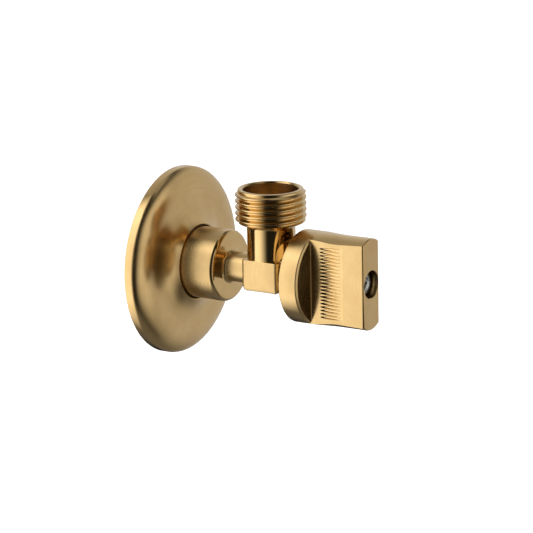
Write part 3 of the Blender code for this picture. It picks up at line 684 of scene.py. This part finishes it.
def wing():
    """A bar across the disc, which widens towards it.

    Its crowned top and bottom are flush with the disc, then round off towards the end.
    """
    root = DISC_FRONT - WING_ROOT
    bm = bmesh.new()
    bmesh.ops.create_cube(bm, size=1.0)
    size = Vector((2 * WING_HALF, HANDLE_END - root, 2 * HANDLE_RADIUS))
    bmesh.ops.scale(bm, vec=size * MM, verts=bm.verts)
    bmesh.ops.translate(bm, vec=(0.0, -(HANDLE_END + root) / 2 * MM, 0.0), verts=bm.verts)
    for low, high, flat in ((-WING_HALF, WING_HALF, (1, 0, 0)), (-HANDLE_END, -root, (0, 1, 0))):
        for step in range(1, WING_STRIPS):
            place = Vector(flat) * (low + (high - low) * step / WING_STRIPS) * MM
            whole = bm.verts[:] + bm.edges[:] + bm.faces[:]
            bmesh.ops.bisect_plane(bm, geom=whole, plane_co=place, plane_no=flat)
    for vert in bm.verts:
        out = -vert.co.y / MM
        share = min(max((out - DISC_FRONT) / WING_BLEND, 0.0), 1.0)
        share = share * share * (3 - 2 * share)
        to_end = min(HANDLE_END - out, HANDLE_END - DISC_FRONT) / (HANDLE_END - DISC_FRONT)
        vert.co.x *= 1 + to_end * WING_DRAFT / WING_HALF
        across = abs(vert.co.x) / MM
        flush = crown(across, HANDLE_RADIUS, HANDLE_RADIUS)
        rounded = crown(across, WING_CROWN, WING_TOP)
        vert.co.z = math.copysign((flush + (rounded - flush) * share) * MM, vert.co.z)
    bmesh.ops.recalc_face_normals(bm, faces=bm.faces)
    end = -(HANDLE_END - 0.1) * MM
    side = (WING_HALF - 0.01) * MM

    def round_the_end(a, b):
        return max(a.y, b.y) < end and (a.x * b.x > side ** 2 or a.z * b.z > side ** 2)

    soften(bm, round_the_end, WING_EDGE, 4)
    return bm


def corner_bead():
    """Fine bead where each face of the wing meets the disc."""
    bm = bmesh.new()
    reach = math.sqrt((HANDLE_RADIUS - DISC_CHAMFER - 0.3) ** 2 - (WING_HALF + WING_DRAFT) ** 2)
    for side in (-1, 1):
        bmesh.ops.create_cone(
            bm,
            cap_ends=True,
            segments=16,
            radius1=CORNER_BEAD * MM,
            radius2=CORNER_BEAD * MM,
            depth=2 * reach * MM,
            matrix=Matrix.Translation(Vector((side * (WING_HALF + WING_DRAFT), -DISC_FRONT, 0.0)) * MM),
        )
    return bm


def grooves():
    """One round-bottomed cutter for each line of the grip, on both faces of the wing.

    Known fault: the faces taper to the end and the cutters lean the other way, so each
    line is cut over only part of its face.
    """
    bm = bmesh.new()
    length = HANDLE_END - GROOVE_END_LAND - DISC_FRONT - 0.05
    middle = -(DISC_FRONT + 0.05 + length / 2)
    draft = math.atan(WING_DRAFT / (HANDLE_END - DISC_FRONT))
    for row in range(GROOVES):
        height = (row - (GROOVES - 1) / 2) * GROOVE_PITCH
        for side in (-1, 1):
            across = side * (WING_HALF + WING_DRAFT / 2 + GROOVE_RADIUS - GROOVE_DEPTH)
            place = Matrix.Translation(Vector((across, middle, height)) * MM)
            bmesh.ops.create_cone(
                bm,
                cap_ends=True,
                segments=16,
                radius1=GROOVE_RADIUS * MM,
                radius2=GROOVE_RADIUS * MM,
                depth=length * MM,
                matrix=place @ Matrix.Rotation(side * draft, 4, "Z") @ FACING_WALL,
            )
    return bm


def handle_way():
    return turned([
        (0.0, HANDLE_END + 1.0),
        (ACCESS_RADIUS + 1.15, HANDLE_END + 1.0),
        (ACCESS_RADIUS, HANDLE_END - 0.15),
        (ACCESS_RADIUS, ACCESS_FLOOR, 0.3),
        (SCREW_HOLE, ACCESS_FLOOR),
        (SCREW_HOLE, SOCKET_FLOOR),
        (INSERT_POCKET, SOCKET_FLOOR),
        (INSERT_POCKET, WEB_BACK - 1.0),
        (0.0, WEB_BACK - 1.0),
    ])


def handle_zone(at, normal):
    """0 turned rim, 1 wing faces, 2 wing end, 3 inside."""
    out = -at.y
    from_axis = math.hypot(at.x, at.z)
    if from_axis < ACCESS_RADIUS + 0.02 and out < HANDLE_END - 0.02:
        return 3
    if out < WEB_BACK + 0.05 and from_axis < HANDLE_HOLLOW + 0.1:
        return 3
    if out > HANDLE_END - 0.05:
        return 2
    return 1 if out > DISC_FRONT + 0.02 else 0


def handle(materials):
    knob = solid("ribbed_handle", on_wall(disc()))
    bar = solid("wing", wing())
    combine(bar, grooves(), "DIFFERENCE")
    combine(knob, as_bmesh(bar), "UNION")
    combine(knob, corner_bead(), "UNION")
    combine(knob, on_wall(handle_way()), "DIFFERENCE")
    return finished(knob, "handle", "handle", materials, handle_zone)


def handle_screw(material):
    """Cheese-head screw with a dished face and a cross recess."""
    front = -SCREW_LOW.y / MM
    tip = -SCREW_HIGH.y / MM
    radius = SCREW_HIGH.x / MM
    seat = front - SCREW_HEAD
    screw = solid("handle_fixing_screw", on_wall(turned([
        (0.0, front - SCREW_DISH),
        (SCREW_DISH_FLOOR, front - SCREW_DISH, 0.1),
        (SCREW_DISH_RIM, front, 0.12),
        (radius, front, 0.55),
        (radius, seat, 0.15),
        (SCREW_SHANK, seat, 0.1),
        (SCREW_SHANK, tip, 0.3),
        (0.0, tip),
    ], SMALL_SIDES)))
    for wide, tall in ((RECESS_LONG, RECESS_WIDE), (RECESS_WIDE, RECESS_LONG)):
        bm = bmesh.new()
        bmesh.ops.create_cube(bm, size=1.0)
        bmesh.ops.scale(bm, vec=Vector((wide, RECESS_TOOL, tall)) * MM, verts=bm.verts)
        bmesh.ops.translate(bm, vec=(0.0, -(front - RECESS_BEHIND) * MM, 0.0), verts=bm.verts)
        combine(screw, bm, "DIFFERENCE")
    return finished(screw, "handle", "handle_screw", [material])


def lock_washer(material):
    """Split spring washer under the screw's head."""
    front = -WASHER_LOW.y / MM
    back = -WASHER_HIGH.y / MM
    washer = solid("split_lock_washer", on_wall(turned([
        (WASHER_BORE, front, 0.1),
        (WASHER_OUTSIDE, front, 0.12),
        (WASHER_OUTSIDE, back, 0.12),
        (WASHER_BORE, back, 0.1),
    ], SMALL_SIDES, closed=True)))
    bm = bmesh.new()
    bmesh.ops.create_cube(bm, size=1.0)
    bmesh.ops.scale(bm, vec=Vector((WASHER_GAP, WASHER_GAP_TOOL, WASHER_GAP_TOOL)) * MM, verts=bm.verts)
    turn = Matrix.Rotation(WASHER_GAP_TURN, 3, "Z")
    bmesh.ops.rotate(bm, cent=(0.0, 0.0, 0.0), matrix=turn, verts=bm.verts)
    bmesh.ops.translate(bm, vec=(0.0, -(front + back) / 2 * MM, WASHER_GAP_AT * MM), verts=bm.verts)
    combine(washer, bm, "DIFFERENCE")
    return finished(washer, "handle", "screw_lock_washer", [material])


# ---------------------------------------------------------------- carried-over parts

def dress(node, material):
    """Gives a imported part, whose shape stays as it is, its finish."""
    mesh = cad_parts[node].data
    mesh.materials.clear()
    mesh.materials.append(material)


def dress_inner_parts(turned_brass, steel, rubber, ptfe, nylon):
    for node in ("port_plug", "stem", "bonnet"):
        dress(node, turned_brass)
    for node in ("seat_spring", "stop_washer", "stem_circlip"):
        dress(node, steel)
    for node in ("stem_o_ring_inner", "stem_o_ring_outer", "bonnet_o_ring"):
        dress(node, rubber)
    for node in ("inlet_seat_ring", "plug_sleeve", "thrust_washer", "slip_washer"):
        dress(node, ptfe)
    dress("handle_insert", nylon)


# ---------------------------------------------------------------- studio

AIM = Vector((0.0, -31.537, 1.185)) * MM
FLOOR_DROP = 120.0
FLOOR_REACH = 30.0          # metres
FLOOR_LIGHT = 3.6
FLOOR_LIGHT_SPREAD = math.radians(60)
ROOM_GLOW = 0.05
CAMERA_SENSOR = 36.0
CAMERA_LENS = 229.97
CAMERA_AZIMUTH = -58.1048   # degrees, as are the next two
CAMERA_ELEVATION = 14.3282
CAMERA_ROLL = -1.0373
CAMERA_AWAY = 1.0           # metres
TENT_RADIUS = 3.0
TENT_GLOW = 0.02
TENT_COLOUR = (1.0, 0.985, 0.96, 1.0)


def direction(azimuth, elevation):
    """Unit vector from the valve. Azimuth 0 points at the user, -90 to the user's left."""
    turn, rise = math.radians(azimuth), math.radians(elevation)
    return Vector((math.sin(turn) * math.cos(rise), -math.cos(turn) * math.cos(rise), math.sin(rise)))


def camera():
    data = bpy.data.cameras.new("studio_camera")
    data.sensor_width = CAMERA_SENSOR
    data.lens = CAMERA_LENS
    data.clip_start = 0.05
    data.clip_end = 100.0
    obj = bpy.data.objects.new("studio_camera", data)
    bpy.context.scene.collection.objects.link(obj)
    back = direction(CAMERA_AZIMUTH, CAMERA_ELEVATION)
    look = back.to_track_quat("Z", "Y").to_matrix().to_4x4()
    roll = Matrix.Rotation(math.radians(CAMERA_ROLL), 4, "Z")
    obj.matrix_world = Matrix.Translation(AIM + back * CAMERA_AWAY) @ look @ roll
    bpy.context.scene.camera = obj


def band(tree, value, edges):
    """1 between the two middle edges, fading softly to 0 at the outer ones."""
    shares = []
    for far, near in ((edges[0], edges[1]), (edges[3], edges[2])):
        ranged = add(tree, "ShaderNodeMapRange", interpolation_type="SMOOTHSTEP")
        sign = 1 if near > far else -1
        ranged.inputs["From Min"].default_value = far * sign
        ranged.inputs["From Max"].default_value = near * sign
        tree.links.new(math_node(tree, "MULTIPLY", value, sign), ranged.inputs["Value"])
        shares.append(ranged.outputs["Result"])
    return math_node(tree, "MULTIPLY", *shares)


def light_tent(cards):
    """A round tent about the valve, unseen by the camera, on which soft cards of light glow.

    Each card is its strength, its edges in azimuth and its edges in elevation, in degrees.
    """
    bm = bmesh.new()
    bmesh.ops.create_uvsphere(bm, u_segments=64, v_segments=32, radius=TENT_RADIUS)
    bmesh.ops.translate(bm, vec=AIM, verts=bm.verts)
    tent = solid("light_tent", bm)
    material = bpy.data.materials.new("tent_cards")
    material.use_nodes = True
    tree = material.node_tree
    tree.nodes.clear()
    away = add(tree, "ShaderNodeVectorMath", operation="SUBTRACT")
    away.inputs[1].default_value = AIM
    tree.links.new(add(tree, "ShaderNodeTexCoord").outputs["Object"], away.inputs[0])
    unit = add(tree, "ShaderNodeVectorMath", operation="NORMALIZE")
    tree.links.new(away.outputs[0], unit.inputs[0])
    parts = add(tree, "ShaderNodeSeparateXYZ")
    tree.links.new(unit.outputs[0], parts.inputs[0])
    x, y, z = parts.outputs
    turn = math_node(tree, "ARCTAN2", x, math_node(tree, "MULTIPLY", y, -1.0))
    azimuth = math_node(tree, "DEGREES", turn)
    elevation = math_node(tree, "DEGREES", math_node(tree, "ARCSINE", z))
    total = None
    for strength, across, upright in cards:
        glow = math_node(tree, "MULTIPLY", band(tree, azimuth, across), band(tree, elevation, upright))
        total = math_node(tree, "MULTIPLY_ADD", glow, strength, TENT_GLOW if total is None else total)
    emission = add(tree, "ShaderNodeEmission")
    emission.inputs["Color"].default_value = TENT_COLOUR
    tree.links.new(total, emission.inputs["Strength"])
    output = add(tree, "ShaderNodeOutputMaterial")
    tree.links.new(emission.outputs[0], output.inputs["Surface"])
    tent.data.materials.append(material)
    tent.visible_camera = False
    tent.visible_shadow = False


def floor():
    bm = bmesh.new()
    bmesh.ops.create_grid(bm, x_segments=1, y_segments=1, size=FLOOR_REACH)
    bmesh.ops.translate(bm, vec=(0.0, 0.0, FLANGE_LOW.z - FLOOR_DROP * MM), verts=bm.verts)
    obj = solid("floor", bm)
    material, tree, shader = nodes_of("pale_floor")
    place = add(tree, "ShaderNodeTexCoord").outputs["Object"]
    tint = ramp(tree, noise(tree, place, 3.0), [(0.3, (0.90, 0.90, 0.895)), (0.7, (0.92, 0.92, 0.915))])
    tree.links.new(tint, shader.inputs["Base Color"])
    shader.inputs["Roughness"].default_value = 0.9
    obj.data.materials.append(material)
    obj.visible_glossy = False


def floor_light():
    """Evens the floor out to white. It isn't seen in the metal."""
    data = bpy.data.lights.new("floor_light", "SUN")
    data.energy = FLOOR_LIGHT
    data.angle = FLOOR_LIGHT_SPREAD
    obj = bpy.data.objects.new("floor_light", data)
    bpy.context.scene.collection.objects.link(obj)
    obj.visible_glossy = False


def room(level):
    world = bpy.data.worlds.new("studio_room")
    bpy.context.scene.world = world
    world.use_nodes = True
    shade = world.node_tree.nodes["Background"]
    shade.inputs["Color"].default_value = (level, level, level, 1.0)
    shade.inputs["Strength"].default_value = 1.0


def studio():
    camera()
    floor()
    floor_light()
    room(ROOM_GLOW)
    all_round = (-400, -390, 390, 400)
    light_tent([
        (1.68, (-179, -160, -126, -76), (-70, -35, 42, 76)),    # softbox on the left
        (0.72, (-181, -180, -125, -95), (35, 55, 65, 85)),      # its spill above
        (0.95, (-42, 5, 28, 45), (-45, -15, 20, 50)),           # front
        (0.62, (28, 50, 105, 130), (-60, -20, 20, 55)),         # right
        (0.58, (105, 125, 165, 181), (-15, 5, 40, 70)),         # behind on the right
        (0.40, (-20, 20, 178, 181), (45, 70, 95, 100)),         # above
        (0.16, all_round, (-100, -95, -60, -35)),               # below
    ])
    bpy.context.scene.view_settings.view_transform = "Standard"


# ---------------------------------------------------------------- the valve

def valve():
    satin = gold("satin_gold", "Y")
    polished = gold("polished_gold", "Y", rough=(0.07, 0.13), relief=0.03, lay=0.1)
    outlet_axis = (0.0, -OUTLET_OUT * MM, 0.0)
    thread = gold("thread_gold", "Z", rough=(0.12, 0.2), relief=0.03, lay=0.1, centre=outlet_axis)
    bore = gold("bored_brass", "Z", rough=(0.2, 0.3), centre=outlet_axis, lay=0.2)
    flange_gold = gold("flange_gold", "Y", rough=(0.20, 0.28), grain=4200.0, relief=0.08, lay=0.6)
    wing_gold = gold("wing_gold", "Y", rough=(0.16, 0.24), relief=0.05, lay=0.1)
    end_gold = gold("wing_end_gold", "Y", rough=(0.36, 0.46), lay=0.3)
    turned_brass = gold(
        "turned_brass", "Y", rough=(0.2, 0.32), colour=((0.60, 0.42, 0.17), (0.74, 0.55, 0.26)),
    )
    steel = plain("plated_steel", ((0.52, 0.52, 0.51), (0.68, 0.68, 0.67)), (0.32, 0.20), 1.0)
    rubber = plain("black_rubber", ((0.012, 0.012, 0.012), (0.03, 0.03, 0.03)), (0.75, 0.5), 0.0)
    ptfe = plain("white_ptfe", ((0.80, 0.80, 0.77), (0.88, 0.88, 0.86)), (0.55, 0.4), 0.0)
    nylon = plain("grey_nylon", ((0.24, 0.24, 0.24), (0.32, 0.32, 0.32)), (0.6, 0.42), 0.0)
    valve_body([satin, polished, thread, bore])
    wall_flange(flange_gold)
    grip_ring(rubber)
    handle([satin, wing_gold, end_gold, bore])
    handle_screw(steel)
    lock_washer(steel)
    dress_inner_parts(turned_brass, steel, rubber, ptfe, nylon)


valve()
studio()
